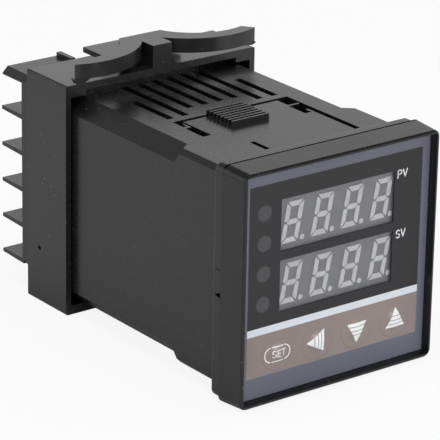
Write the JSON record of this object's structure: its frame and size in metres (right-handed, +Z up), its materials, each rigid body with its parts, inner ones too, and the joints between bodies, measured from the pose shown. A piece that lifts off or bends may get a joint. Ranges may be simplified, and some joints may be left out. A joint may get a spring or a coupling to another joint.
{
  "type": "pid temperature controller",
  "caption": "Panel-mount temperature controller: square bezel with two digital displays and keys, long vented case, screw terminals at the rear and a sliding mounting bracket.",
  "frame": {"origin": "middle of the footprint, on the plane the housing and bracket rest on", "axes": "+X to the viewer's right when facing the display, +Y from the bezel back to the terminals, +Z up"},
  "size_m": [0.0488, 0.0852, 0.0545],
  "materials": {
    "housing": "fine spark-eroded texture",
    "bezel_moulding": "fine satin texture",
    "printed_film": "printed polyester film, soft sheen",
    "window_tint": "clear, smooth",
    "segments": "even, unlit",
    "display_body": "smooth",
    "switch_body": "smooth",
    "lamp_lens": "smooth",
    "circuit_board": "solder-mask laminate",
    "core_steel": "laminated edge",
    "winding_tape": "taped",
    "relay_case": "smooth",
    "capacitor_can": "sleeved can",
    "chip_body": "moulded",
    "link_socket": "moulded",
    "brass_strip": "stamped",
    "plated_steel": "bright zinc plate",
    "bracket_moulding": "fine satin texture"
  },
  "bodies": {
    "housing": {"case": "housing", "terminal_block": "housing", "clamp_washers": "plated_steel", "terminal_screws": "plated_steel", "terminal_contact_1": "brass_strip", "terminal_contact_2": "brass_strip", "terminal_contact_3": "brass_strip", "terminal_contact_4": "brass_strip", "terminal_contact_5": "brass_strip", "terminal_contact_6": "brass_strip", "terminal_contact_7": "brass_strip", "terminal_contact_8": "brass_strip", "terminal_contact_9": "brass_strip", "terminal_contact_10": "brass_strip"},
    "front_unit": {"bezel": "bezel_moulding", "face_film": "printed_film", "upper_window": "window_tint", "lower_window": "window_tint", "upper_digits": "segments", "lower_digits": "segments", "upper_display": "display_body", "lower_display": "display_body", "set_switch": "switch_body", "shift_switch": "switch_body", "down_switch": "switch_body", "up_switch": "switch_body", "status_lamp_1": "lamp_lens", "status_lamp_2": "lamp_lens", "status_lamp_3": "lamp_lens", "status_lamp_4": "lamp_lens", "front_board": "circuit_board", "power_board": "circuit_board", "logic_board": "circuit_board", "transformer_core": "core_steel", "transformer_winding": "winding_tape", "output_relay": "relay_case", "capacitors": "capacitor_can", "logic_chips": "chip_body", "board_link": "link_socket"},
    "bracket": {"mounting_bracket": "bracket_moulding"},
    "latch": {"bracket_latch": "housing"},
    "set_button": {"set_key": "printed_film"},
    "shift_button": {"shift_key": "printed_film"},
    "down_button": {"down_key": "printed_film"},
    "up_button": {"up_key": "printed_film"}
  },
  "joints": [
    {"name": "bracket_slide", "type": "slide", "parent": "housing", "child": "bracket", "axis": [0, 1, 0], "range_m": [-0.0457, 0.0275]},
    {"name": "front_unit_slide", "type": "slide", "parent": "housing", "child": "front_unit", "axis": [0, -1, 0], "range_m": [0, 0.065]},
    {"name": "latch_flex", "type": "hinge", "parent": "housing", "child": "latch", "pos_m": [0.00057, -0.02285, 0.04522], "axis": [-0.8905, 0.4549, 0], "range_deg": [0, 5], "stiffness_Nm_per_rad": 0.6},
    {"name": "set_key_press", "type": "slide", "parent": "front_unit", "child": "set_button", "axis": [0, 1, 0], "range_m": [0, 0.00035], "stiffness_N_per_m": 1500},
    {"name": "shift_key_press", "type": "slide", "parent": "front_unit", "child": "shift_button", "axis": [0, 1, 0], "range_m": [0, 0.00035], "stiffness_N_per_m": 1500},
    {"name": "down_key_press", "type": "slide", "parent": "front_unit", "child": "down_button", "axis": [0, 1, 0], "range_m": [0, 0.00035], "stiffness_N_per_m": 1500},
    {"name": "up_key_press", "type": "slide", "parent": "front_unit", "child": "up_button", "axis": [0, 1, 0], "range_m": [0, 0.00035], "stiffness_N_per_m": 1500}
  ]
}
